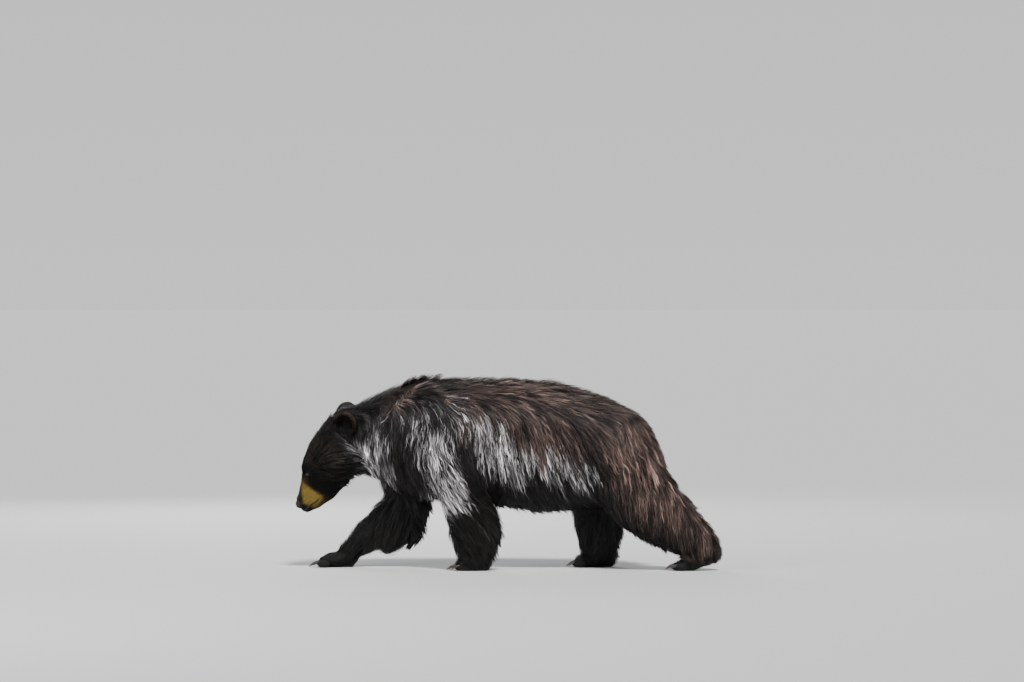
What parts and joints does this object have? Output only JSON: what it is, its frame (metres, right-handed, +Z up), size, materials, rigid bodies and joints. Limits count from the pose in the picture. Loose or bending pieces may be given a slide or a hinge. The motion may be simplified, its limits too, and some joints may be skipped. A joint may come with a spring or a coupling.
{
  "type": "black bear figure",
  "caption": "Life-size still figure of an adult American black bear with a long shaggy coat, walking with its head low.",
  "frame": {"origin": "on the floor, under the middle of the figure's bounding box", "axes": "+X towards the tail along the body, +Y towards the animal's right, +Z up"},
  "size_m": [1.8308, 0.461, 0.8106],
  "materials": {
    "coat": "matte",
    "nose": "satin",
    "eye": "gloss",
    "claw": "satin"
  },
  "bodies": {
    "root": {"barrel": "coat", "chest": "coat", "claw_forepaw_left_1": "claw", "claw_forepaw_left_2": "claw", "claw_forepaw_left_3": "claw", "claw_forepaw_left_4": "claw", "claw_forepaw_left_5": "claw", "claw_forepaw_right_1": "claw", "claw_forepaw_right_2": "claw", "claw_forepaw_right_3": "claw", "claw_forepaw_right_4": "claw", "claw_forepaw_right_5": "claw", "claw_hindfoot_left_1": "claw", "claw_hindfoot_left_2": "claw", "claw_hindfoot_left_3": "claw", "claw_hindfoot_left_4": "claw", "claw_hindfoot_left_5": "claw", "claw_hindfoot_right_1": "claw", "claw_hindfoot_right_2": "claw", "claw_hindfoot_right_3": "claw", "claw_hindfoot_right_4": "claw", "claw_hindfoot_right_5": "claw", "ear_left": "coat", "ear_right": "coat", "eye_left": "eye", "eye_right": "eye", "forearm_left": "coat", "forearm_right": "coat", "forepaw_left": "coat", "forepaw_right": "coat", "head": "coat", "hindfoot_left": "coat", "hindfoot_right": "coat", "neck": "coat", "nose": "nose", "rump": "coat", "shank_left": "coat", "shank_right": "coat", "shoulder_left": "coat", "shoulder_right": "coat", "tail": "coat", "thigh_left": "coat", "thigh_right": "coat"}
  },
  "joints": []
}
